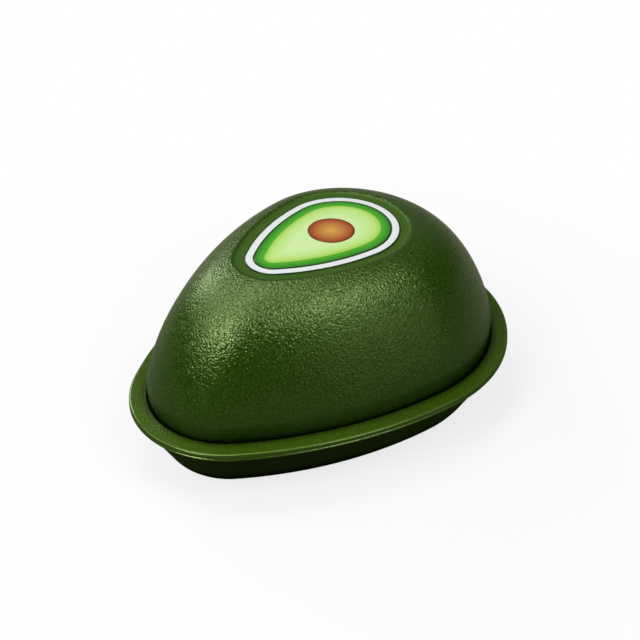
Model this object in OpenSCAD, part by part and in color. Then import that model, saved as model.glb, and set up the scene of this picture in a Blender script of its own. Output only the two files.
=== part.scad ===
// Avocado saver: a shallow egg-shaped tray with a wide flat rim, and a domed cover whose foot
// drops into a rebate in the rim. A smooth level panel on the cover's top carries a printed label.
// Millimetres. The small end points to -X, and the tray stands on Z = 0.

/* [Plan outline] */
// Overall length over the rim, from the small end to the big end
body_length = 140; // [125:1:160]
// Overall width over the rim, across the big end
body_width = 106; // [94:1:114]
// Radius of the rim round the small end
small_end_r = 32.5; // [28:0.5:37]
// Radius of the rim's two long side arcs
side_r = 140; // [115:1:200]

/* [Tray] */
// Height of the rim's flat top above the table
tray_height = 21.5; // [17:0.5:28]
// Width of the rim's flat top, from its outer edge to the opening
rim_width = 5.8; // [4.5:0.1:8]
// Thickness of the rim at its outer edge
rim_thickness = 2.2; // [2:0.1:3.2]
// Radius on the rim's upper outer edge
rim_top_r = 1.1; // [0.3:0.1:1.1]
// Radius on the rim's lower outer edge
rim_low_r = 0.7; // [0.2:0.1:0.8]
// Radius on the rim's inner edge
rim_inner_r = 0.4; // [0.2:0.1:0.8]
// How far the outer wall starts in from the rim's outer edge
wall_start = 1.3; // [1:0.1:3]
// How far the bottom's edge lies in from the rim's outer edge
bottom_inset = 11.8; // [8:0.1:14]
// Radius where the outer wall turns into the bottom
bottom_edge_r = 6; // [2:0.5:8]
// Width of the flat ring that the tray stands on
foot_ring = 4.5; // [2:0.5:7]
// Depth of the underside's recess inside that ring
foot_recess = 0.6; // [0.3:0.1:0.9]
// Thickness of the floor
floor_thickness = 2.2; // [1.6:0.1:4]
// How far the inner wall leans in from the ledge down to the floor
inner_lean = 2.4; // [1.5:0.1:4]
// Radius inside, where the inner wall turns into the floor
inner_edge_r = 5; // [2:0.5:7]

/* [Cover seat] */
// Depth of the ledge that the cover's foot stands on, below the rim's top
seat_depth = 3; // [2:0.1:5]
// Gap all round between the cover's foot and the rim's inner edge
seat_gap = 0.4; // [0.3:0.05:1]
// Width of ledge that shows inside the cover's foot
ledge_spare = 0.4; // [0.2:0.1:1]

/* [Cover] */
// Wall thickness of the cover
cover_wall = 1.8; // [1.2:0.1:2.6]
// Height that the crown would reach above the rim, if it weren't levelled for the label
crown_height = 43; // [34:0.5:54]
// Height above the rim at which the flank starts to lean in
upright_height = 5.4; // [3:0.2:10]
// How far the crown lies towards the big end from the middle of the outline
crown_shift = 2; // [-6:0.5:8]
// Power of the shoulder's curve: a larger one gives a flatter top
shoulder_power = 4.25; // [3:0.05:6]
// Power of the flank's curve: a larger one stands the flank more upright
flank_power = 1.18; // [1:0.01:1.6]
// Bevel on the outer edge of the cover's foot
foot_bevel = 0.5; // [0.2:0.1:1]

/* [Label] */
// Size of the level panel under the label, as a share of the foot's outline
panel_share = 0.505; // [0.42:0.005:0.6]
// Depth of the panel below the shoulder's edge
panel_depth = 0.6; // [0.3:0.1:1]
// Width of the panel's sloping border
panel_slope = 0.8; // [0.3:0.1:1.5]
// Bare panel left all round the label
label_margin = 4; // [2:0.1:6]
// Thickness of the label's film
film_thickness = 0.25; // [0.15:0.05:0.4]
// Thickness of each printed field
ink_thickness = 0.08; // [0.05:0.01:0.1]
// Width of the label's white border
border_width = 2.6; // [1.5:0.1:4]
// Width of the dark line round the fruit
outline_width = 0.6; // [0.3:0.1:1.2]
// Width of the ring of skin
skin_width = 3; // [1.5:0.1:5]
// Radius of the pit
pit_r = 7.6; // [4:0.1:8]
// How far the pit lies towards the big end from the label's middle
pit_shift = 5; // [0:0.5:7]

/* [Hidden] */
$fn = 96;
// Outline points on the big end, on each side and on the small end
big_steps = 36;
side_steps = 12;
small_steps = 22;
// Contours between the upright foot and the crown, on the cover's outside and inside
outer_rings = 20;
inner_rings = 9;
// Steps round each corner of the tray's section
bottom_steps = 4;
lip_low_steps = 3;
lip_top_steps = 4;
mouth_steps = 2;
floor_steps = 4;
full_turn = 360;

rim_plan = [body_length, small_end_r, body_width / 2, side_r];
rim_underside = tray_height - rim_thickness;
seat_z = tray_height - seat_depth;
foot_inset = rim_width + seat_gap;
ledge_inset = foot_inset + cover_wall + ledge_spare;
floor_inset = ledge_inset + inner_lean;

flank_z = tray_height + upright_height;
crown_z = tray_height + crown_height;
shoulder_z = crown_level(panel_share, flank_z, crown_z);
panel_z = shoulder_z - panel_depth;
ceiling_z = panel_z - cover_wall;
panel_plan = shrunk(rim_plan, foot_inset, panel_share);
panel_x = crown_shift * (1 - panel_share);
film_z = panel_z + film_thickness;
outline_inset = label_margin + border_width;
skin_inset = outline_inset + outline_width;
flesh_inset = skin_inset + skin_width;

// An egg-shaped plan is [length, small end's radius, big end's radius, side arcs' radius]. Its
// four arcs meet without a corner, so each end's centre lies on the line from a side arc's centre
// to the point where the two arcs join.
function small_x(plan) = -plan[0] / 2 + plan[1];
function big_x(plan) = plan[0] / 2 - plan[2];
function side_x(plan) =
    let (span = big_x(plan) - small_x(plan), near = plan[3] - plan[1], far = plan[3] - plan[2])
    small_x(plan) + (near * near - far * far + span * span) / (2 * span);
function side_y(plan) =
    let (near = plan[3] - plan[1], along = side_x(plan) - small_x(plan))
    sqrt(near * near - along * along);

// The same egg drawn in by inset all round and then made smaller by share
function shrunk(plan, inset, share) =
    [plan[0] - 2 * inset, plan[1] - inset, plan[2] - inset, plan[3] - inset] * share;

// Points of the arc about centre with radius r, from angle a to angle b, without the last one
function arc(centre, r, a, b, steps) =
    [for (i = [0:steps - 1]) let (t = a + (b - a) * i / steps) centre + r * [cos(t), sin(t)]];

// Points once round a plan, drawn in by inset, anticlockwise from the lower end of the big arc
function outline(plan, inset) =
    let (
        x = side_x(plan),
        y = side_y(plan),
        big_turn = atan2(y, big_x(plan) - x),
        small_turn = atan2(y, small_x(plan) - x)
    )
    concat(
        arc([big_x(plan), 0], plan[2] - inset, -big_turn, big_turn, big_steps),
        arc([x, -y], plan[3] - inset, big_turn, small_turn, side_steps),
        arc([small_x(plan), 0], plan[1] - inset, small_turn, full_turn - small_turn,
            small_steps),
        arc([x, y], plan[3] - inset, -small_turn, -big_turn, side_steps)
    );

// The arc of radius r that rounds the corner at b between the lines to a and to c
function rounded(a, b, c, r, steps) =
    let (
        u = (a - b) / norm(a - b),
        v = (c - b) / norm(c - b),
        half = acos(u * v) / 2,
        centre = b + (u + v) / norm(u + v) * r / sin(half),
        from = b + u * r / tan(half) - centre,
        turn = (full_turn / 2 - 2 * half) * sign(cross(v, u))
    )
    [for (i = [0:steps]) let (t = atan2(from[1], from[0]) + turn * i / steps)
        centre + r * [cos(t), sin(t)]];

// Height at which the crown's contour has shrunk to the given share of the foot's outline
function crown_level(share, low, high) =
    low + (high - low) * pow(1 - pow(share, shoulder_power), 1 / flank_power);

// Share of the foot's outline that the crown's contour keeps at height z
function crown_share(z, low, high) =
    pow(1 - pow((z - low) / (high - low), flank_power), 1 / shoulder_power);

// One contour of the cover: the rim's plan at inset, made smaller by share about the crown's axis
function contour(inset, share, z) =
    [for (p = outline(rim_plan, inset))
        [crown_shift + share * (p[0] - crown_shift), share * p[1], z]];

// Contours from height low up to top, closer together where the shoulder flattens
function crown_contours(inset, low, high, top, count) =
    [for (i = [0:count]) let (z = low + (top - low) * sin(90 * i / count))
        contour(inset, crown_share(z, low, high), z)];

// A closed solid through a chain of rings. The first ring's face looks down, the last one's up
// or, where the chain turns back through a hollow, into the hollow.
module loft(rings) {
    n = len(rings[0]);
    last = len(rings) - 1;
    walls = [for (i = [0:last - 1], j = [0:n - 1]) let (k = (j + 1) % n)
        [i * n + j, (i + 1) * n + j, (i + 1) * n + k, i * n + k]];
    first_face = [for (j = [0:n - 1]) j];
    last_face = [for (j = [n - 1:-1:0]) last * n + j];
    polyhedron([for (ring = rings) each ring], concat([first_face], walls, [last_face]),
        convexity = 6);
}

// The tray's section, carried round the rim's plan. Each point is [inset from the rim's outer
// edge, height], from the underside's recess over the foot ring, up the outside, over the rim
// and down to the floor.
module base_tray() {
    bottom = [bottom_inset, 0];
    wall_top = [wall_start, rim_underside];
    edge_low = [0, rim_underside];
    edge_top = [0, tray_height];
    mouth = [rim_width, tray_height];
    seat = [rim_width, seat_z];
    ledge = [ledge_inset, seat_z];
    floor_edge = [floor_inset, floor_thickness];
    inwards = [1, 0];
    bottom_round = rounded(bottom + inwards, bottom, wall_top, bottom_edge_r, bottom_steps);
    ring_inner = bottom_round[0] + foot_ring * inwards;
    section = concat(
        [ring_inner + [foot_recess, foot_recess], ring_inner],
        bottom_round,
        [wall_top],
        rounded(wall_top, edge_low, edge_top, rim_low_r, lip_low_steps),
        rounded(edge_low, edge_top, mouth, rim_top_r, lip_top_steps),
        rounded(edge_top, mouth, seat, rim_inner_r, mouth_steps),
        [seat, ledge],
        rounded(ledge, floor_edge, floor_edge + inwards, inner_edge_r, floor_steps)
    );
    color([0.21, 0.33, 0.07])
        loft([for (s = section) [for (p = outline(rim_plan, s[0])) [p[0], p[1], s[1]]]]);
}

// The cover's shell, as one chain of contours: from the ceiling down the inside, round the foot,
// up the outside to the shoulder's edge and down the slope to the label's panel
module dome_cover() {
    inner_inset = foot_inset + cover_wall;
    inside = crown_contours(inner_inset, flank_z, crown_z - cover_wall, ceiling_z, inner_rings);
    outside = crown_contours(foot_inset, flank_z, crown_z, shoulder_z, outer_rings);
    panel_ring = [for (p = outline(panel_plan, panel_slope)) [panel_x + p[0], p[1], panel_z]];
    color([0.15, 0.27, 0.06]) loft(concat(
        [for (i = [inner_rings:-1:0]) inside[i]],
        [contour(inner_inset, 1, seat_z)],
        [contour(foot_inset + foot_bevel, 1, seat_z)],
        [contour(foot_inset, 1, seat_z + foot_bevel)],
        outside,
        [panel_ring]
    ));
}

// One flat field of the label: the panel's outline drawn in by inset, from height level up
module label_field(inset, level, thickness) {
    translate([panel_x, 0, level]) linear_extrude(thickness)
        polygon(outline(panel_plan, inset));
}

module label_film() {
    color([0.94, 0.96, 0.95]) label_field(label_margin, panel_z, film_thickness);
}

module label_outline() {
    color([0.07, 0.16, 0.08]) label_field(outline_inset, film_z, ink_thickness);
}

module label_skin() {
    color([0.22, 0.62, 0.16]) label_field(skin_inset, film_z + ink_thickness, ink_thickness);
}

module label_flesh() {
    color([0.75, 0.9, 0.5]) label_field(flesh_inset, film_z + 2 * ink_thickness, ink_thickness);
}

module label_pit() {
    color([0.8, 0.4, 0.14]) translate([panel_x + pit_shift, 0, film_z + 3 * ink_thickness])
        cylinder(r = pit_r, h = ink_thickness);
}

base_tray();
dome_cover();
label_film();
label_outline();
label_skin();
label_flesh();
label_pit();
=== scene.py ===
# %% [markdown]
# # An avocado saver in dark green plastic
# The object is a closed keeper for half an avocado: a shallow egg-shaped tray with a wide flat
# rim, a domed cover whose foot drops into a rebate in the rim, and a printed label on a level
# panel at the top of the dome. The constructed solids are loaded first. They fix every size, and
# nothing here moves them. The pieces below are finer versions of the same shapes, worked out
# with numpy from the same plan and the same section, and each one stands where its solid stands.

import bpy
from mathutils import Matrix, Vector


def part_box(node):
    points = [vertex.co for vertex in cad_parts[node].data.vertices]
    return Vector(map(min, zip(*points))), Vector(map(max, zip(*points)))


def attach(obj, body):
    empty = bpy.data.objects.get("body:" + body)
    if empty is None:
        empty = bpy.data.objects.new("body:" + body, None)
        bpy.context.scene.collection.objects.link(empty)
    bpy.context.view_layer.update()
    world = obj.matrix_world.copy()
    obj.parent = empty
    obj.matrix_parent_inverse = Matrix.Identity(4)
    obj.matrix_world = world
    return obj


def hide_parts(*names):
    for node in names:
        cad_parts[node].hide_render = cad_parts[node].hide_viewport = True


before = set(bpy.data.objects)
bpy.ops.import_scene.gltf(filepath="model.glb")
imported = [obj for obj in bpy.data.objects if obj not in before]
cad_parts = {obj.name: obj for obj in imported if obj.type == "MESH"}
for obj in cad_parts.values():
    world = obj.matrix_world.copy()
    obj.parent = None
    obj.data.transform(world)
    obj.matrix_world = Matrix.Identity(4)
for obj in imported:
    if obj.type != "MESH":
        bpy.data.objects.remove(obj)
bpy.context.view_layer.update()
print("solids:", sorted(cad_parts))

# %% [markdown]
# Lengths of a small object are easier to read in millimetres, while Blender's own unit is the
# metre. So the shapes are worked out in millimetres, and one factor turns them into metres as a
# mesh is made. The heights of the main faces are read from the solids instead of typed again.

# %% Units and main heights
import bpy
import numpy as np

MM = 0.001
tray_low, tray_high = [np.array(corner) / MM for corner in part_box("base_tray")]
cover_low, cover_high = [np.array(corner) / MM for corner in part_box("dome_cover")]
RIM_TOP = tray_high[2]
SEAT = cover_low[2]
SHOULDER = cover_high[2]
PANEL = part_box("label_film")[0].z / MM
print("rim top %.2f, seat %.2f, shoulder %.2f, panel %.2f" % (RIM_TOP, SEAT, SHOULDER, PANEL))

# %% [markdown]
# ## Camera
# The photograph looks down on the keeper from its left front corner with a fairly long lens. Its
# viewpoint was worked out from the outline of the rim, the dome and the panel, so the camera
# stands at that spot. A camera looks along its own -Z. Tipping it up from straight down by 90
# degrees less its elevation, and then turning it about Z by its azimuth, points it at the object
# without any roll.

# %% Camera
AZIMUTH = np.radians(-42.135)
ELEVATION = np.radians(35.469)
camera_data = bpy.data.cameras.new("camera")
camera_data.sensor_width = 36
camera_data.lens = 64.02
camera_data.clip_start = 0.01
camera_data.clip_end = 20
camera = bpy.data.objects.new("camera", camera_data)
camera.location = (-207.27 * MM, -230.39 * MM, 251.05 * MM)
camera.rotation_euler = (np.pi / 2 - ELEVATION, 0, AZIMUTH)
bpy.context.scene.collection.objects.link(camera)
bpy.context.scene.camera = camera
bpy.context.scene.view_settings.view_transform = "Standard"
print("camera %.3f m from the origin" % camera.location.length)

# %% [markdown]
# ## The egg-shaped plan
# Seen from above, rim and dome are an egg made of four arcs that meet without a corner: a small
# end, a big end and two long flat sides. Where two arcs meet smoothly, both centres and the
# meeting point lie on one line, and that fixes where the side arcs' centres are. An egg could
# also be a stretched circle or a spline, but only arcs stay true arcs when the plan is drawn in
# by a constant width, and a rim of even width needs just that.

# %% Plan of four arcs
LENGTH = tray_high[0] - tray_low[0]
SMALL_R = 32.5
BIG_R = (tray_high[1] - tray_low[1]) / 2
SIDE_R = 140.0
CROWN_X = 2.0


def plan_arcs(big_steps, side_steps, small_steps):
    """Centre x, centre y, radius and angle for points once round the rim's outline.

    The end circles sit on the long axis, tangent to the ends of the overall length. A side
    circle touches both from outside its own centre, so its centre is side_r - small_r from the
    one and side_r - big_r from the other, and it lies where those two distances meet. Each arc
    is shared out in equal angles, anticlockwise from the lower end of the big arc."""
    small_x = SMALL_R - LENGTH / 2
    big_x = LENGTH / 2 - BIG_R
    span = big_x - small_x
    near = SIDE_R - SMALL_R
    far = SIDE_R - BIG_R
    side_x = small_x + (near**2 - far**2 + span**2) / (2 * span)
    side_y = np.sqrt(near**2 - (side_x - small_x) ** 2)
    big_turn = np.arctan2(side_y, big_x - side_x)
    small_turn = np.arctan2(side_y, small_x - side_x)
    arcs = [
        (big_x, 0, BIG_R, -big_turn, big_turn, big_steps),
        (side_x, -side_y, SIDE_R, big_turn, small_turn, side_steps),
        (small_x, 0, SMALL_R, small_turn, 2 * np.pi - small_turn, small_steps),
        (side_x, side_y, SIDE_R, -small_turn, -big_turn, side_steps),
    ]
    parts = []
    for x, y, r, start, end, steps in arcs:
        turn = start + (end - start) * np.arange(steps) / steps
        parts.append(np.stack([np.full(steps, x), np.full(steps, y), np.full(steps, r), turn]))
    return np.hstack(parts)


ROUND = plan_arcs(big_steps=136, side_steps=56, small_steps=48)
print("points round the outline:", ROUND.shape[1])

# %% [markdown]
# ## Two ways to draw the outline in
# The parts of this keeper need two kinds of smaller outline. The rim and the walls are drawn in
# by a constant width, as a section carried along the outline. The dome closes towards the top
# by shrinking the whole outline about one axis, so that it stays egg-shaped. One function covers
# both: a row of a section is [inset, share, height], and every surface of tray, cover and label
# is a grid of such rows and of the points once round.


# %% Surface of a section carried round the plan
def carried(rows, around=ROUND):
    """Grid of points [row, point round, xyz] in millimetres.

    A point of the outline is its arc's centre plus (radius - inset) in the direction of its
    angle. Its distance from the crown's axis is then multiplied by the row's share, and its
    height is the row's height."""
    inset, share, height = np.asarray(rows, float).T[:, :, None]
    centre_x, centre_y, radius, turn = around[:, None, :]
    x = CROWN_X + share * (centre_x + (radius - inset) * np.cos(turn) - CROWN_X)
    y = share * (centre_y + (radius - inset) * np.sin(turn))
    z = height + 0 * x
    return np.stack([x, y, z], axis=2)


print("rim outline spans", np.ptp(carried([[0, 1, RIM_TOP]])[0], axis=0).round(3))

# %% [markdown]
# ## Mouldings have no sharp edge
# Plastic that fills a steel mould comes out with small radii, and the thin bright lines along the
# rim's lip in the photograph are light caught in them. A Bevel modifier could round the edges
# afterwards. Here the section itself is rounded, because each edge then gets
# its own radius and the rows crowd together just where the surface turns, so smooth shading
# stays clean on the flat stretches.


# %% Section with rounded corners
def bend(start, corner, end, steps):
    """Rows along the parabola that leaves start towards corner and arrives at end."""
    t = np.linspace(0, 1, steps)[:, None]
    start, corner, end = [np.asarray(p, float) for p in (start, corner, end)]
    return (1 - t) ** 2 * start + 2 * t * (1 - t) * corner + t**2 * end


def run(start, end, steps):
    """Rows on the straight line between two rows, crowded towards both ends like a cosine."""
    t = (1 - np.cos(np.linspace(0, np.pi, steps)))[:, None] / 2
    start, end = [np.asarray(p, float) for p in (start, end)]
    return ((1 - t) * start + t * end)[1:-1]


def section(corners, bend_steps=7, run_steps=9):
    """Rows through a chain of corners [inset, height, reach] with the share fixed at 1.

    Each corner between the two ends is cut off by a bend that begins reach before the corner
    and ends reach after it, and straight runs join the bends."""
    points = [np.array([inset, 1.0, height]) for inset, height, reach in corners]
    rows = [points[0][None]]
    for i in range(1, len(points) - 1):
        before = points[i - 1] - points[i]
        after = points[i + 1] - points[i]
        reach = corners[i][2]
        start = points[i] + reach * before / np.linalg.norm(before)
        end = points[i] + reach * after / np.linalg.norm(after)
        rows.append(run(rows[-1][-1], start, run_steps))
        rows.append(bend(start, points[i], end, bend_steps))
    rows.append(run(rows[-1][-1], points[-1], run_steps))
    rows.append(points[-1][None])
    return np.vstack(rows)


# %% [markdown]
# ## From a grid to a closed mesh
# A skin of quads joins each row to the next. The first and the last row are shrunk to nothing,
# and there one point and a fan of triangles close the shell, so no hole is left at the poles.
# The points run anticlockwise, so a surface whose rows climb on the outside faces outwards.


# %% Closed shell
def shell(name, grid, **values):
    """Mesh object through a grid [row, point, xyz] whose first and last rows close to a point.

    Corner (i, j) is joined to (i, j+1), (i+1, j+1) and (i+1, j), with j+1 taken once round.
    Each extra array gives one number per row, kept on the mesh as a point attribute."""
    rows, count = grid.shape[:2]
    inner = grid[1:-1].reshape(-1, 3)
    points = np.vstack([inner, grid[0].mean(0), grid[-1].mean(0)]) * MM
    first = np.arange(count)
    after = np.roll(first, -1)
    step = count * np.arange(rows - 3)[:, None]
    quads = np.stack([first + step, after + step, after + step + count, first + step + count], 2)
    top = count * (rows - 3)
    low_pole = len(inner)
    low_fan = np.stack([np.full(count, low_pole), after, first], 1)
    top_fan = np.stack([first + top, after + top, np.full(count, low_pole + 1)], 1)
    mesh = bpy.data.meshes.new(name)
    faces = quads.reshape(-1, 4).tolist() + low_fan.tolist() + top_fan.tolist()
    mesh.from_pydata(points.tolist(), [], faces)
    mesh.polygons.foreach_set("use_smooth", np.ones(len(faces), bool))
    for label, per_row in values.items():
        per_row = np.asarray(per_row, float)
        per_point = np.append(np.repeat(per_row[1:-1], count), per_row[[0, -1]])
        mesh.attributes.new(label, "FLOAT", "POINT").data.foreach_set("value", per_point)
    mesh.update()
    piece = bpy.data.objects.new(name, mesh)
    bpy.context.scene.collection.objects.link(piece)
    print(name, len(points), "points,", 2 * quads.size // 4 + 2 * count, "triangles")
    return piece


# %% [markdown]
# ## The tray
# One section makes the whole tray. It starts in the middle of the underside and crosses a shallow
# recess and the flat ring that the tray stands on. Then it goes round the bottom edge, up the
# leaning wall, out under the rim, round the lip and over the flat top. From there it drops into
# the rebate where the cover's foot stands, crosses the ledge, and runs down the inner wall and
# over the floor to the middle. The lip has a rounded top edge and a narrow bead along its lower
# edge. The photograph shows them as two thin light lines with a darker band between them. A
# solid cut with Booleans would need a bevel on every edge. Here each corner of the section says
# how far it is rounded.

# %% Tray surface
THICKNESS = 2.2
RIM_WIDTH = 5.8
RIM_UNDERSIDE = RIM_TOP - THICKNESS
LIP_ROUND = 0.8
BEAD_TOP = RIM_UNDERSIDE + 0.45
BEAD_ROUND = 0.12
BAND_INSET = 0.28
BAND_LOW = BEAD_TOP + 0.25
WALL_TOP_INSET = 1.3
BOTTOM_INSET = 11.8
BOTTOM_ROUND = 3.6
RING_INSET = 19.86
RECESS = 0.6
RECESS_INSET = RING_INSET + 3.0
RECESS_ROUND = 0.3
LEDGE_INSET = 8.4
TRAY_FLOOR = THICKNESS
FLOOR_INSET = 10.8
FLOOR_ROUND = 4.3
MIDDLE_INSET = 17.0
# each corner is its inset from the rim's outline, its height and how far it is rounded
tray_section = section(
    [
        (RECESS_INSET, RECESS, 0),
        (RING_INSET + RECESS, RECESS, RECESS_ROUND),
        (RING_INSET, 0.0, RECESS_ROUND),
        (BOTTOM_INSET, 0.0, BOTTOM_ROUND),
        (WALL_TOP_INSET, RIM_UNDERSIDE, 0.25),
        (0.0, RIM_UNDERSIDE, 0.3),
        (0.0, BEAD_TOP, BEAD_ROUND),
        (BAND_INSET, BAND_LOW, BEAD_ROUND),
        (0.0, RIM_TOP, LIP_ROUND),
        (RIM_WIDTH, RIM_TOP, 0.4),
        (RIM_WIDTH, SEAT, 0.2),
        (LEDGE_INSET, SEAT, 0.35),
        (FLOOR_INSET, TRAY_FLOOR, FLOOR_ROUND),
        (MIDDLE_INSET, TRAY_FLOOR, 0),
    ]
)


def to_middle(row, steps=16):
    """Rows that shrink a row to its middle: its share falls evenly to nothing."""
    share = row[1] * np.linspace(1, 0, steps)[1:]
    return np.stack([0 * share + row[0], share, 0 * share + row[2]], 1)


tray_rows = np.vstack([to_middle(tray_section[0])[::-1], tray_section, to_middle(tray_section[-1])])
print("tray section of", len(tray_rows), "rows")

# %% [markdown]
# The photograph shows three finishes on this one moulding: a fine grain on the rim's flat top, a
# polished lip and a dull wall below it. So the grain is written on the mesh as a number per row:
# full on the rim and the wall, calmer on the lip and calmer still on the inside. The faces
# between two rows take the number of their finish, and the three materials are added further
# down in that order.
# Where the grain is calmer, the colour is also painted paler, as painted light.

# %% Tray mesh
LIP_GRAIN = 0.6
INSIDE_GRAIN = 0.25
LIP_FROM = 0.3
ON_RIM, ON_WALL, ON_LIP = 0, 1, 2
CLOSE = 0.001
rim_last = np.flatnonzero(tray_rows[:, 2] > RIM_TOP - CLOSE)[-1]
tray_grain = np.where(tray_rows[:, 0] < LIP_ROUND, LIP_GRAIN, 1.0)
tray_grain = np.where(np.arange(len(tray_rows)) > rim_last, INSIDE_GRAIN, tray_grain)
tray = shell("tray_moulding", carried(tray_rows), grain=tray_grain)
lip_first = np.flatnonzero(tray_rows[:, 0] < LIP_FROM)[0]
bands = np.where(tray_rows[1:-2, 0] < LIP_ROUND, ON_LIP, ON_RIM)
bands[: lip_first - 1] = ON_WALL
bands_and_fans = np.append(bands, [ON_WALL, ON_RIM])
tray.data.polygons.foreach_set("material_index", np.repeat(bands_and_fans, ROUND.shape[1]))
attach(tray, "tray")
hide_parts("base_tray")

# %% [markdown]
# ## The cover
# The cover is one thin shell. Its foot is upright, then the flank leans in more and more, and
# the shoulder rolls over towards a nearly level top. Each contour is the foot's outline made
# smaller about one axis, and the share that is left at a height follows a superellipse: one
# power sets how upright the flank stands, the other how flat the top is. That is why the dome
# needs no sculpting. The same chain of rows runs down the inside and up the outside. Round the
# level panel the shoulder falls in a slope that is rounded above and below, because a sharp
# border there would catch a bright line that the photograph doesn't show.

# %% Cover surface
SEAT_GAP = 0.4
FOOT_INSET = RIM_WIDTH + SEAT_GAP
WALL = 1.8
FLANK = RIM_TOP + 5.4
CROWN = RIM_TOP + 43.0
SHOULDER_POWER = 4.25
FLANK_POWER = 1.18
PANEL_SHARE = 0.505
PANEL_SLOPE = 1.7
PANEL_SOFT = 1.6
PANEL_EDGE = 1.5
SLOPE_ROUND = 0.45
SHOULDER_ROWS = 5
BEND_STEPS = 9


def crown(inset, crown_z, top, steps):
    """Rows of a crown from the flank's start up to the height top.

    With u the height above the flank's start as a part of the full crown's height, the share
    of the outline is (1 - u to the flank power) to the power 1 / shoulder power. The heights
    follow a sine, so rows lie closer where the surface flattens."""
    height = FLANK + (top - FLANK) * np.sin(np.linspace(0, np.pi / 2, steps))
    level = (height - FLANK) / (crown_z - FLANK)
    share = (1 - level**FLANK_POWER) ** (1 / SHOULDER_POWER)
    return np.stack([0 * share + inset, share, height], 1)


INNER_INSET = FOOT_INSET + WALL
inside = crown(INNER_INSET, CROWN - WALL, PANEL - WALL, steps=60)[::-1]
outside = crown(FOOT_INSET, CROWN, SHOULDER, steps=110)
foot = section(
    [
        (INNER_INSET, FLANK, 0),
        (INNER_INSET, SEAT, 0.3),
        (FOOT_INSET, SEAT, 0.5),
        (FOOT_INSET, FLANK, 0),
    ]
)
edge = outside[-1]
slope_foot = np.array([FOOT_INSET + PANEL_SLOPE / PANEL_SHARE, PANEL_SHARE, PANEL])
panel_start = slope_foot + [PANEL_SOFT, 0, 0]
slope_top = edge + SLOPE_ROUND * (slope_foot - edge)
slope_low = edge + (1 - SLOPE_ROUND) * (slope_foot - edge)
shoulder_bend = bend(outside[-SHOULDER_ROWS], edge, slope_top, BEND_STEPS)
panel_bend = bend(slope_low, slope_foot, panel_start, BEND_STEPS)
panel_flat = panel_start + [PANEL_EDGE, 0, 0]
ceiling = to_middle(inside[0])[::-1]
panel_middle = to_middle(panel_flat)
cover_rows = np.vstack(
    [
        ceiling,
        inside,
        foot[1:-1],
        outside[:-SHOULDER_ROWS],
        shoulder_bend,
        panel_bend,
        panel_flat[None],
        panel_middle,
    ]
)
print("cover section of", len(cover_rows), "rows")

# %% [markdown]
# The outside of the dome has a pebbled grain and the panel under the label is smooth, with a
# clear border between them. A material can't know which row it is on, so the grain is written
# on the mesh as a number per row: 1 on the flank, 0 on the panel and a little on the inside.
# Where the grain number is lower, the colour is also painted paler, as painted light.

# %% Cover mesh
COVER_INSIDE_GRAIN = 0.12
order = np.arange(len(cover_rows))
inner_count = len(ceiling) + len(inside)
panel_from = len(cover_rows) - len(panel_middle) - 1 - len(panel_bend)
cover_grain = np.where(order < inner_count, COVER_INSIDE_GRAIN, 1.0)
cover_grain = np.where(order >= panel_from, 0.0, cover_grain)
cover = shell("cover_moulding", carried(cover_rows), grain=cover_grain)
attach(cover, "cover")
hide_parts("dome_cover")

# %% [markdown]
# ## The label
# The label is a printed film, cut to the panel's own egg shape. Its picture here is a plain
# section of the fruit, seen straight on: a white border with a thin dark cut edge, a dark line,
# a ring of skin, pale flesh and a round pit. Each field of colour is its own thin plate with a
# rounded edge, one on the other as print lies on film, so the fields keep clean borders at any
# distance. Painting them all with one texture would need an image or a shader with many masks.

# %% Label plates
EDGE_ROUND = 0.03
PLATE_STEPS = np.array([1.0, 0, 0, EDGE_ROUND, 0.4, 0.8, 1.6, 3.2, 5.0])


def plate_rows(inset, low, high):
    """Rows of a flat plate: the panel's outline drawn in by inset, between two heights.

    The panel's outline is the foot's outline times the panel's share, so an inset of d on the
    label is d / share before the shrinking. The top edge is rounded by half the thickness."""
    at = FOOT_INSET + PLATE_STEPS + inset / PANEL_SHARE
    soft = (high - low) / 2
    heights = np.full(len(at), high)
    heights[:3] = [low, low, high - soft]
    rows = np.stack([at, 0 * at + PANEL_SHARE, heights], 1)
    return np.vstack([to_middle(rows[0])[::-1], rows, to_middle(rows[-1])])


def edge_distance(rows):
    """Distance of each row from the plate's edge in millimetres, along the shorter half."""
    reach = (BIG_R - rows[:, 0]) * rows[:, 1]
    return reach.max() - reach


def label_plate(name, node, inset):
    """Plate that stands for one printed field and takes its heights from that field's solid."""
    low, high = [corner.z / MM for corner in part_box(node)]
    rows = plate_rows(inset, low, high)
    piece = shell(name, carried(rows), depth=edge_distance(rows))
    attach(piece, "cover")
    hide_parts(node)
    return piece


LABEL_MARGIN = 4.0
LINE_INSET = LABEL_MARGIN + 2.6
SKIN_INSET = LINE_INSET + 0.6
FLESH_INSET = SKIN_INSET + 3.0
film = label_plate("label_backing", "label_film", LABEL_MARGIN)
line = label_plate("label_line", "label_outline", LINE_INSET)
skin = label_plate("label_rind", "label_skin", SKIN_INSET)
flesh = label_plate("label_pulp", "label_flesh", FLESH_INSET)

# %% [markdown]
# The pit is a round field. It is carried round a circle instead of the egg: an arc table with
# one centre and one radius gives a circle from the very same function.

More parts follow.
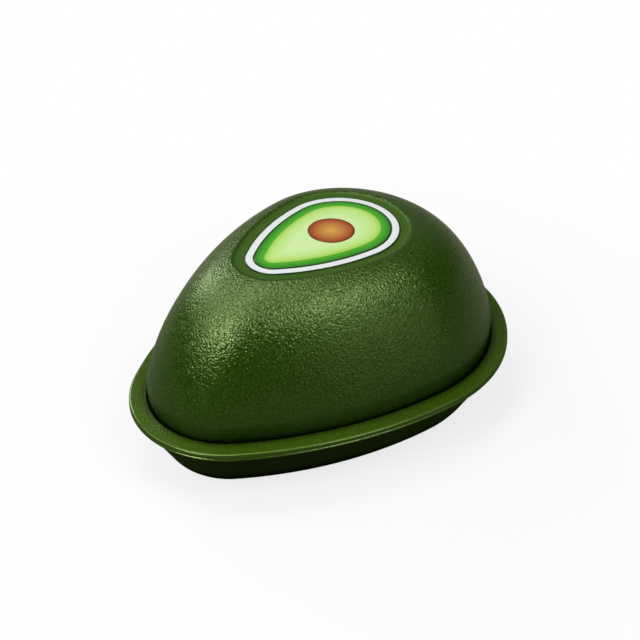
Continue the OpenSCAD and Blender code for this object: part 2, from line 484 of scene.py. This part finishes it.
# %% Pit of the label
PIT_R = 7.6
PIT_POINTS = 96
PIT_ROWS = 20
pit_low, pit_high = [np.array(corner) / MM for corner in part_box("label_pit")]
pit_x = (pit_low[0] + pit_high[0]) / 2
pit_middle = (pit_low[2] + pit_high[2]) / 2
pit_turn = np.linspace(0, 2 * np.pi, PIT_POINTS, endpoint=False)
circle = np.stack([0 * pit_turn + pit_x, 0 * pit_turn, 0 * pit_turn + PIT_R, pit_turn])
across = PIT_R * (1 - np.linspace(0, 1, PIT_ROWS) ** 2)
pit_top = np.stack([across[::-1] + EDGE_ROUND, 0 * across + 1, 0 * across + pit_high[2]], 1)
pit_top[-1, 0] = PIT_R
pit_under = np.array([[PIT_R, 1, pit_low[2]], [1.0, 1, pit_low[2]], [0, 1, pit_low[2]]])
pit_rows = np.vstack([pit_under, [[0, 1, pit_middle]], pit_top])
pit = shell("label_stone", carried(pit_rows, circle), depth=pit_rows[:, 0])
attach(pit, "cover")
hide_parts("label_pit")

# %% [markdown]
# ## Materials
# Each finish is a small tree of nodes. Building one by hand takes three lines a node, so a
# helper adds a node and fills its inputs: a number or colour is set on the socket itself, and
# another node's output is joined to it.


# %% Node helpers
def new_finish(name):
    """Material of that name, its node tree and its Principled shader."""
    material = bpy.data.materials.new(name)
    material.use_nodes = True
    tree = material.node_tree
    return material, tree, tree.nodes["Principled BSDF"]


def add(tree, kind, inputs=None, **settings):
    """Adds a shader node. inputs maps a socket's name or number to a value or an output."""
    node = tree.nodes.new("ShaderNode" + kind)
    for name, value in settings.items():
        setattr(node, name, value)
    fill(tree, node, inputs or {})
    return node


def fill(tree, node, inputs):
    """Sets or joins each named input of a node."""
    for name, value in inputs.items():
        if isinstance(value, bpy.types.NodeSocket):
            tree.links.new(value, node.inputs[name])
        else:
            node.inputs[name].default_value = value


def colour_ramp(tree, factor, stops):
    """Output of a colour ramp through stops of (position, colour)."""
    ramp = add(tree, "ValToRGB", {"Fac": factor})
    elements = ramp.color_ramp.elements
    while len(elements) < len(stops):
        elements.new(0.5)
    for element, (position, colour) in zip(elements, stops):
        element.position = position
        element.color = (*colour, 1)
    return ramp.outputs["Color"]


def maths(tree, operation, a, b):
    """Output of one sum, product or the like of two values."""
    return add(tree, "Math", {0: a, 1: b}, operation=operation).outputs[0]


# %% [markdown]
# ### Moulded plastic with a pebbled grain
# The dome's steel mould was etched, so its plastic is covered with low rounded pebbles less than
# a millimetre wide, and light breaks up on them into fine speckles. Real geometry that fine
# would need millions of faces, so the grain is a bump: rounded cells from a Voronoi pattern with
# a finer noise between them. The mesh attribute written above scales it, from full on the flank
# to none on the smooth panel.
#
# The colour varies at the scale of the grain. Where there is less grain it is painted a little
# paler, as painted light on the panel, the lip and the insides. In nooks it is painted darker,
# towards black, as painted shade: the photograph shows that darkness in the gap round the cover's
# foot, and an Ambient Occlusion node finds such places on any shape. The gloss is that of a
# polished mould. It is tinted green, because the highlights in the photograph are green rather
# than white. Where there is no grain, the surface is a little rougher.

# %% Plastic finish
PAINTED_SHADE_SAMPLES = 16
PLASTIC_IOR = 1.6
GREEN_SHEEN = (0.70, 1.0, 0.36, 1.0)
FINE_SHARE = 0.8
BROAD_SHARE = 0.2
SMOOTH_PAINTED_LIFT = 0.35
DARKEST_PART = 0.2
PALEST_PART = 1.2


def grain_bump(tree, place, grain, cell, relief):
    """Normal of the pebbles, and the fine noise that lies between them.

    The height is the fine noise less half the distance to the nearest cell's middle, times the
    mesh's grain number. A cell is cell mm wide and a height of 1 stands relief mm proud."""
    pebbles = add(tree, "TexVoronoi", {"Vector": place, "Scale": 1 / (cell * MM)}, feature="SMOOTH_F1")
    pebbles.inputs["Smoothness"].default_value = 0.4
    crumbs = add(tree, "TexNoise", {"Vector": place, "Scale": 1.3 / (cell * MM), "Detail": 1.5})
    round_tops = maths(tree, "MULTIPLY", pebbles.outputs["Distance"], -0.5)
    height = maths(tree, "ADD", round_tops, crumbs.outputs["Fac"])
    height = maths(tree, "MULTIPLY", height, grain)
    bump = add(tree, "Bump", {"Height": height, "Strength": 1.0, "Distance": relief * MM})
    return bump.outputs[0], crumbs.outputs["Fac"]


def plastic_colour(tree, grain, crumbs, clouds, deep, light, painted_shade_depth):
    """Colour that runs from nearly black over deep and light to a paler light, with painted shade
    and painted light.

    The place on that run is 0.8 of the fine noise plus 0.2 of the broad one, plus 0.35 where
    there is no grain as painted light, times how open the place is as painted shade. That falls
    from 1 where nothing stands within painted_shade_depth mm to 0 where half or more of the view
    is blocked."""
    shade = maths(tree, "MULTIPLY", crumbs, FINE_SHARE)
    shade = maths(tree, "ADD", shade, maths(tree, "MULTIPLY", clouds, BROAD_SHARE))
    # Painted light: where there is less grain, the colour is painted paler.
    smooth = maths(tree, "SUBTRACT", 1.0, grain)
    shade = maths(tree, "ADD", shade, maths(tree, "MULTIPLY", smooth, SMOOTH_PAINTED_LIFT))
    # Painted shade: the colour is darkened towards black in nooks that the Ambient Occlusion node
    # finds.
    nook = add(tree, "AmbientOcclusion", {"Distance": painted_shade_depth * MM}, samples=PAINTED_SHADE_SAMPLES)
    unshaded_part = add(tree, "MapRange", {"Value": nook.outputs["AO"], "From Min": 0.5})
    shade = maths(tree, "MULTIPLY", shade, unshaded_part.outputs[0])
    darkest = [DARKEST_PART * part for part in deep]
    pale = [PALEST_PART * part for part in light]
    return colour_ramp(tree, shade, [(0.05, darkest), (0.35, deep), (0.65, light), (1.0, pale)])


def moulded(name, deep, light, cell, relief, roughness, gloss, painted_shade_depth):
    """Moulded plastic between the colours deep and light, with its grain and gloss, painted shade in
    nooks and painted light where smooth.

    The roughness is the given one plus 0.15, less 0.2 of the grain, plus 0.1 of a broad noise."""
    material, tree, shader = new_finish(name)
    place = add(tree, "TexCoord").outputs["Object"]
    grain = add(tree, "Attribute", attribute_name="grain").outputs["Fac"]
    clouds = add(tree, "TexNoise", {"Vector": place, "Scale": 35, "Detail": 3}).outputs["Fac"]
    normal, crumbs = grain_bump(tree, place, grain, cell, relief)
    colour = plastic_colour(tree, grain, crumbs, clouds, deep, light, painted_shade_depth)
    polish = maths(tree, "ADD", maths(tree, "MULTIPLY", grain, -0.2), roughness + 0.15)
    rough = add(tree, "Math", {0: clouds, 1: 0.1, 2: polish}, operation="MULTIPLY_ADD").outputs[0]
    fill(tree, shader, {"Base Color": colour, "Roughness": rough, "Normal": normal})
    fill(tree, shader, {"IOR": PLASTIC_IOR, "Specular IOR Level": gloss, "Specular Tint": GREEN_SHEEN})
    return material


# %% [markdown]
# The cover has the darkest of the four finishes, with the largest pebbles and full gloss. The
# tray was moulded in a slightly paler green, with a fine grain on the rim, a polish on the lip
# and hardly any gloss on the wall below it. The wall's green is also painted darker than the
# rim's, as painted shade under the rim.

# %% Four plastic finishes
# Each finish's nook depth sets how far its painted shade in nooks reaches.
TRAY_DEEP = (0.033, 0.076, 0.002)
TRAY_LIGHT = (0.050, 0.112, 0.005)
cover_finish = moulded(
    "green_pebbled_plastic",
    deep=(0.011, 0.039, 0.001),
    light=(0.031, 0.091, 0.003),
    cell=0.76,
    relief=0.22,
    roughness=0.17,
    gloss=1.0,
    painted_shade_depth=13,
)
tray_finish = moulded(
    "green_fine_plastic",
    TRAY_DEEP,
    TRAY_LIGHT,
    cell=0.6,
    relief=0.15,
    roughness=0.14,
    gloss=0.4,
    painted_shade_depth=3.5,
)
# The wall's colours are painted darker than the rim's, as painted shade under the rim.
dull_shaded_wall_finish = moulded(
    "green_dull_shaded_plastic",
    deep=(0.030, 0.062, 0.004),
    light=(0.034, 0.066, 0.006),
    cell=0.6,
    relief=0.08,
    roughness=0.6,
    gloss=0.02,
    painted_shade_depth=8,
)
lip_finish = moulded(
    "green_lip_plastic",
    TRAY_DEEP,
    TRAY_LIGHT,
    cell=0.6,
    relief=0.06,
    roughness=0.1,
    gloss=1.0,
    painted_shade_depth=3.5,
)
cover.data.materials.append(cover_finish)
for finish in (tray_finish, dull_shaded_wall_finish, lip_finish):
    tray.data.materials.append(finish)
print("plastic finishes:", cover_finish.name, [slot.name for slot in tray.data.materials])

# %% [markdown]
# ### Printed film
# Print on a glossy film is flat colour with a soft blend towards a field's edge, under a
# smooth clear face. The plates carry their distance from the edge in millimetres, so a colour
# ramp over that distance lays the blend along each field's own outline. A faint noise in the
# colour stands for the print's own unevenness, and a very low, wide bump for the film's waves.
# The white film ends in a thin dark line at its cut edge, as in the photograph.

# %% Print finish
PRINT_ROUGHNESS = 0.16
WAVE_HEIGHT = 0.04


def printed(name, stops, widest):
    """Glossy print whose colour runs from a field's edge to widest mm inside it.

    The place on the run is the distance from the edge over widest, plus or minus up to 0.04 of
    a fine noise."""
    material, tree, shader = new_finish(name)
    place = add(tree, "TexCoord").outputs["Object"]
    depth = add(tree, "Attribute", attribute_name="depth").outputs["Fac"]
    waves = add(tree, "TexNoise", {"Vector": place, "Scale": 160, "Detail": 1})
    specks = add(tree, "TexNoise", {"Vector": place, "Scale": 2500, "Detail": 2})
    part = maths(tree, "DIVIDE", depth, widest)
    shift = add(tree, "MapRange", {"Value": specks.outputs["Fac"], "To Min": -0.04, "To Max": 0.04})
    colour = colour_ramp(tree, maths(tree, "ADD", part, shift.outputs[0]), stops)
    bump = add(tree, "Bump", {"Height": waves.outputs["Fac"], "Strength": 0.3})
    bump.inputs["Distance"].default_value = WAVE_HEIGHT * MM
    fill(tree, shader, {"Base Color": colour, "Roughness": PRINT_ROUGHNESS, "Normal": bump.outputs[0]})
    return material


finishes = {
    film: printed(
        "print_white",
        [(0.1, (0.012, 0.04, 0.012)), (0.15, (0.84, 0.88, 0.88)), (1, (0.88, 0.91, 0.91))],
        3,
    ),
    line: printed("print_dark", [(0, (0.012, 0.05, 0.012)), (1, (0.01, 0.03, 0.01))], 2),
    skin: printed(
        "print_skin",
        [(0, (0.03, 0.22, 0.012)), (0.5, (0.055, 0.38, 0.02)), (1, (0.10, 0.45, 0.03))],
        3,
    ),
    flesh: printed(
        "print_flesh",
        [(0, (0.38, 0.70, 0.08)), (0.3, (0.55, 0.84, 0.22)), (1, (0.68, 0.93, 0.42))],
        6,
    ),
    pit: printed(
        "print_pit",
        [(0, (0.10, 0.02, 0.006)), (0.12, (0.40, 0.07, 0.02)), (1, (0.76, 0.42, 0.08))],
        PIT_R,
    ),
}
for piece, finish in finishes.items():
    piece.data.materials.append(finish)
print("print finishes:", len(finishes))

# %% [markdown]
# ## Floor and surroundings
# The photograph has a pure white background. More light can't make it, because that would bleach
# the plastic too. So a ray that comes straight from the camera sees the floor and the world as
# white, while the light that they give to the object stays modest. Near the object the floor
# shows part of its own shading, and with it the soft shadow.
#
# What the plastic mirrors is another matter. The photograph's dark hollows suggest that the room
# round it was dim, with a pale sweep behind the object. So a reflected ray sees the white only
# in part, more of it towards the back and slightly warm.

# %% Floor
FLOOR_REACH = 2.0
floor_mesh = bpy.data.meshes.new("floor")
floor_corners = FLOOR_REACH * np.array([(-1, -1, 0), (1, -1, 0), (1, 1, 0), (-1, 1, 0)])
floor_mesh.from_pydata(floor_corners.tolist(), [], [(0, 1, 2, 3)])
floor = bpy.data.objects.new("floor", floor_mesh)
bpy.context.scene.collection.objects.link(floor)
print("floor %.0f m wide" % (2 * FLOOR_REACH))

# %% White to the camera
WHITE = (1, 1, 1, 1)
WARM_WHITE = (1, 0.97, 0.65, 1)
FLOOR_BEHIND = (0.67, 0.74, 0)
SHADOW_FULL = 0.09
SHADOW_GONE = 0.2
SHADOW_SHARE = 0.22


def sight_rays(tree):
    """1 for rays straight from the camera or through a clear body, else 0.

    It comes with the Light Path node's outputs, which tell the other kinds of ray apart."""
    path = add(tree, "LightPath").outputs
    return maths(tree, "MAXIMUM", path["Is Camera Ray"], path["Is Transmission Ray"]), path


def white_floor():
    """Pale floor that is white to the camera and partly white to reflections.

    The mirrored part runs from 0.05 in front to 0.3 where the place, projected on the direction
    behind the object, is 0.15 m out. The shadow's part falls from 0.22 to nothing between 0.09
    and 0.2 m from the origin."""
    material, tree, shader = new_finish("white_floor")
    place = add(tree, "TexCoord").outputs["Object"]
    specks = add(tree, "TexNoise", {"Vector": place, "Scale": 60}).outputs["Fac"]
    pale = colour_ramp(tree, specks, [(0.3, (0.11, 0.11, 0.11)), (0.7, (0.13, 0.13, 0.13))])
    fill(tree, shader, {"Base Color": pale, "Roughness": 0.9, "Specular IOR Level": 0.0})
    behind = add(tree, "VectorMath", {0: place, 1: FLOOR_BEHIND}, operation="DOT_PRODUCT")
    sweep = add(tree, "MapRange", {"Value": behind.outputs["Value"], "From Max": 0.15})
    fill(tree, sweep, {"To Min": 0.05, "To Max": 0.3})
    straight, path = sight_rays(tree)
    reflected = maths(tree, "MULTIPLY", path["Is Glossy Ray"], sweep.outputs[0])
    shown = maths(tree, "MAXIMUM", straight, reflected)
    away = add(tree, "VectorMath", {0: place}, operation="LENGTH").outputs["Value"]
    near = add(tree, "MapRange", {"Value": away, "From Min": SHADOW_FULL, "From Max": SHADOW_GONE})
    fill(tree, near, {"To Min": SHADOW_SHARE, "To Max": 0.0})
    own_part = maths(tree, "MAXIMUM", near.outputs[0], path["Is Glossy Ray"])
    warm = add(tree, "MixRGB", {0: path["Is Glossy Ray"], 1: WHITE, 2: WARM_WHITE})
    shadowed = add(tree, "BsdfDiffuse", {"Color": warm.outputs[0]}).outputs[0]
    white = add(tree, "Emission", {"Color": WHITE, "Strength": 1.0}).outputs[0]
    lit = add(tree, "MixShader", {0: own_part, 1: white, 2: shadowed}).outputs[0]
    choice = add(tree, "MixShader", {0: shown, 1: shader.outputs[0], 2: lit}).outputs[0]
    tree.links.new(choice, tree.nodes["Material Output"].inputs["Surface"])
    return material


floor_mesh.materials.append(white_floor())
print("floor finish:", floor_mesh.materials[0].name)

# %% [markdown]
# The world does three jobs, and the kind of ray decides between them: white behind the object
# for the camera, a faint even light for the plastic, and the dim room that the gloss mirrors.
# The room is a little brighter near the horizon and glows softly behind the object. An image of
# a studio could do the same, but two short formulas are easier to adjust.

# %% World
WORLD_LIGHT = 0.06
ROOM_LOW = (0.15, 0.16, 0.10)
ROOM_HIGH = (0.01, 0.01, 0.01)
ROOM_BEHIND = (0.63, 0.70, 0.34)
ROOM_GLOW = 0.16


def surroundings(world):
    """Faint even light for the object, white to the camera and a dim room in reflections.

    The room's colour runs from ROOM_LOW to ROOM_HIGH as the direction rises by 0.1. A glow is
    added, which grows to ROOM_GLOW where the direction is the one behind the object."""
    tree = world.node_tree
    sky = tree.nodes["Background"]
    fill(tree, sky, {"Color": WHITE, "Strength": WORLD_LIGHT})
    direction = add(tree, "TexCoord").outputs["Generated"]
    rise = add(tree, "SeparateXYZ", {0: direction}).outputs["Z"]
    studio = colour_ramp(tree, rise, [(0.0, ROOM_LOW), (0.1, ROOM_HIGH)])
    behind = add(tree, "VectorMath", {0: direction, 1: ROOM_BEHIND}, operation="DOT_PRODUCT")
    glow = add(tree, "MapRange", {"Value": behind.outputs["Value"], "From Min": 0.7})
    fill(tree, glow, {"To Max": ROOM_GLOW})
    both = add(tree, "MixRGB", {0: 1.0, 1: studio, 2: glow.outputs[0]}, blend_type="ADD")
    room = add(tree, "Background", {"Color": both.outputs[0], "Strength": 1.0}).outputs[0]
    backdrop = add(tree, "Background", {"Color": WHITE, "Strength": 1.0}).outputs[0]
    straight, path = sight_rays(tree)
    choice = add(tree, "MixShader", {0: path["Is Glossy Ray"], 1: sky.outputs[0], 2: room})
    choice = add(tree, "MixShader", {0: straight, 1: choice.outputs[0], 2: backdrop})
    tree.links.new(choice.outputs[0], tree.nodes["World Output"].inputs["Surface"])


world = bpy.data.worlds.new("world")
bpy.context.scene.world = world
world.use_nodes = True
surroundings(world)
print("world light:", WORLD_LIGHT)

# %% [markdown]
# ## Light
# The dome shows two broad soft highlights: a strong one on its left shoulder and a weaker one
# under the panel's front edge. They are the reflections of soft lamps high on the left and on
# the right of the keeper. Lamps behind it draw the pale line along the far shoulder, one above
# lights the panel and the rim's flat top, and a low one in front fills the flank a little.
# The lamps are small enough to leave dark plastic between their reflections, and together they
# light a white card about as white as it is. A lamp aims the way a camera does, so the same two
# turns point it at the keeper.

# %% Soft lamps
LAMP_DISTANCE = 0.8
AIM_HEIGHT = 0.03
LAMPS = {
    "left_softbox": (-87, 45, 0.29, 2.25),
    "left_rear_softbox": (-136, 44, 0.34, 0.75),
    "rear_softbox": (180, 28, 0.3, 1.3),
    "top_softbox": (-170, 76, 0.4, 1.6),
    "right_softbox": (4, 55, 0.32, 1.6),
    "right_rear_softbox": (60, 62, 0.34, 0.2),
    "front_low_softbox": (10, 20, 0.5, 0.5),
}


def softbox(name, azimuth, elevation, size, power):
    """Square lamp that looks at the keeper's middle from an azimuth and elevation in degrees."""
    lamp = bpy.data.lights.new(name, "AREA")
    lamp.shape = "SQUARE"
    lamp.size = size
    lamp.energy = power
    turn, rise = np.radians([azimuth, elevation])
    back = np.array([np.sin(turn) * np.cos(rise), -np.cos(turn) * np.cos(rise), np.sin(rise)])
    box = bpy.data.objects.new(name, lamp)
    box.location = back * LAMP_DISTANCE + [0, 0, AIM_HEIGHT]
    box.rotation_euler = (np.pi / 2 - rise, 0, turn)
    bpy.context.scene.collection.objects.link(box)
    print(name, "at", [round(float(c), 2) for c in box.location])


for lamp_name, values in LAMPS.items():
    softbox(lamp_name, *values)
